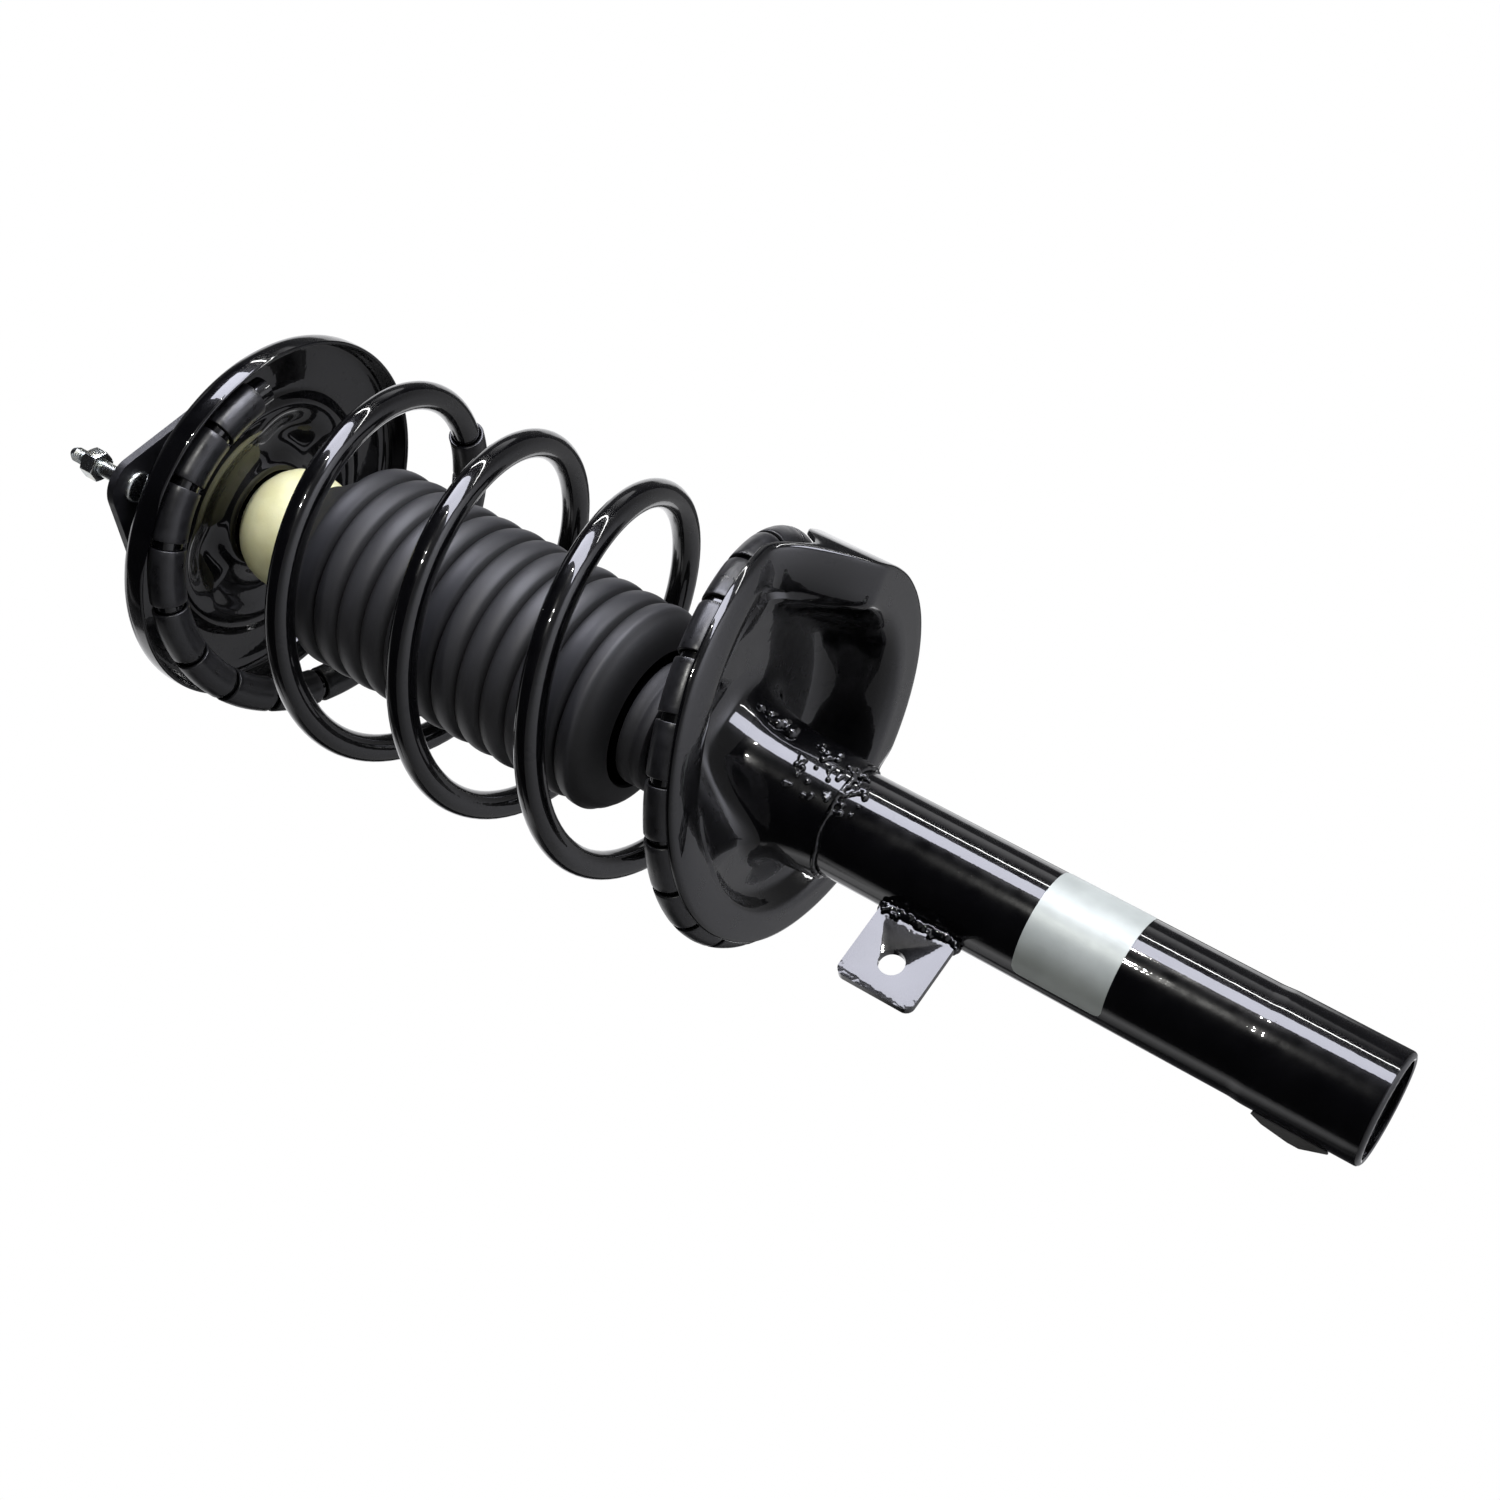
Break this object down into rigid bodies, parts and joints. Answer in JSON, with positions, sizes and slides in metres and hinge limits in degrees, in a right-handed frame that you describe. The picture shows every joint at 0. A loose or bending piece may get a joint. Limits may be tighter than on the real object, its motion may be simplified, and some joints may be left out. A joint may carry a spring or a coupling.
{
  "type": "suspension strut assembly",
  "caption": "Front suspension strut: a tube damper with a coil spring between two stamped seats, a bellows boot, a bump stop and a stud-fixed top mount with a steering bearing.",
  "frame": {"origin": "centre of the damper tube's lower end, where the clamp zone starts", "axes": "+Z along the damper tube to the top mount; the hose bracket points to -X, turned 25 degrees to -Y"},
  "size_m": [0.2062, 0.1916, 0.664],
  "materials": {
    "gloss_black_paint": "gloss",
    "satin_black_paint": "satin",
    "spring_coating": "gloss",
    "black_sleeve": "satin",
    "black_rubber": "matte",
    "silver_label": "satin",
    "cream_foam": "matte",
    "hard_chrome": "polished",
    "plain_steel": "satin",
    "sintered_iron": "matte",
    "bronze_bush": "satin",
    "band_plastic": "matte",
    "zinc_plate": "satin"
  },
  "bodies": {
    "top_mount": {"bearing_upper_race": "plain_steel", "piston_rod": "hard_chrome", "piston": "sintered_iron", "piston_band": "band_plastic", "valve_shims": "plain_steel", "piston_nut": "plain_steel", "rebound_stop": "black_rubber", "bump_stop": "cream_foam", "mount_plate": "satin_black_paint", "mount_rubber": "black_rubber", "mount_core": "plain_steel", "mount_studs": "zinc_plate", "stud_nuts": "zinc_plate", "rod_washer": "zinc_plate", "rod_nut": "zinc_plate"},
    "spring_seat": {"upper_spring_seat": "gloss_black_paint", "upper_coil_sleeve": "black_sleeve", "bearing_lower_race": "plain_steel", "bearing_balls": "hard_chrome", "coil_spring": "spring_coating", "dust_boot": "black_rubber"},
    "lower_strut": {"outer_tube": "gloss_black_paint", "base_cap": "gloss_black_paint", "locating_tab": "gloss_black_paint", "hose_bracket": "gloss_black_paint", "weld_beads": "gloss_black_paint", "lower_spring_seat": "gloss_black_paint", "lower_coil_sleeve": "black_sleeve", "tube_label": "silver_label", "pressure_tube": "plain_steel", "base_valve": "sintered_iron", "rod_guide": "sintered_iron", "guide_bush": "bronze_bush", "rod_seal": "black_rubber", "seal_cap": "plain_steel", "boot_ring": "black_rubber"}
  },
  "joints": [
    {"name": "steering_swivel", "type": "hinge", "parent": "top_mount", "child": "spring_seat", "pos_m": [0, 0, 0.615], "axis": [0, 0, 1], "range_deg": [-45, 45]},
    {"name": "strut_travel", "type": "slide", "parent": "spring_seat", "child": "lower_strut", "axis": [0, 0, 1], "range_m": [0, 0.15], "stiffness_N_per_m": 22000, "springref_m": -0.05, "deforming": ["coil_spring", "dust_boot"]}
  ]
}
